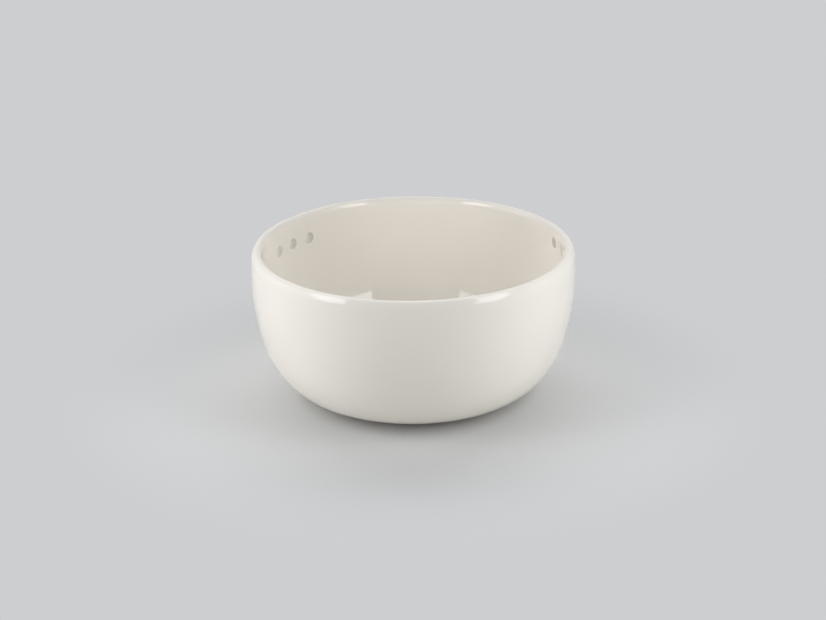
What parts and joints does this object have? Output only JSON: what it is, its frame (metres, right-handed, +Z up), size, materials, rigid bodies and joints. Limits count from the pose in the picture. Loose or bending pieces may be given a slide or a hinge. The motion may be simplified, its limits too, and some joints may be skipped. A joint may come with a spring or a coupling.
{
  "type": "skewer serving bowl",
  "caption": "Round glazed porcelain bowl with steep rounded sides, a soft rolled rim, a low foot ring and a row of small skewer holes through each side below the rim.",
  "frame": {"origin": "centre of the foot ring's resting face, on the surface that the bowl stands on", "axes": "+Z up along the bowl's axis; the two rows of skewer holes mirror each other across the YZ plane in azimuth and lie towards the back (+Y)"},
  "size_m": [0.12, 0.12, 0.0566],
  "materials": {
    "porcelain_biscuit": "matt unglazed porcelain, bare only on the foot ring",
    "white_glaze": "glossy warm white glaze"
  },
  "bodies": {
    "root": {"porcelain_body": "porcelain_biscuit", "glaze_coat": "white_glaze", "foot_well_glaze": "white_glaze"}
  },
  "joints": []
}
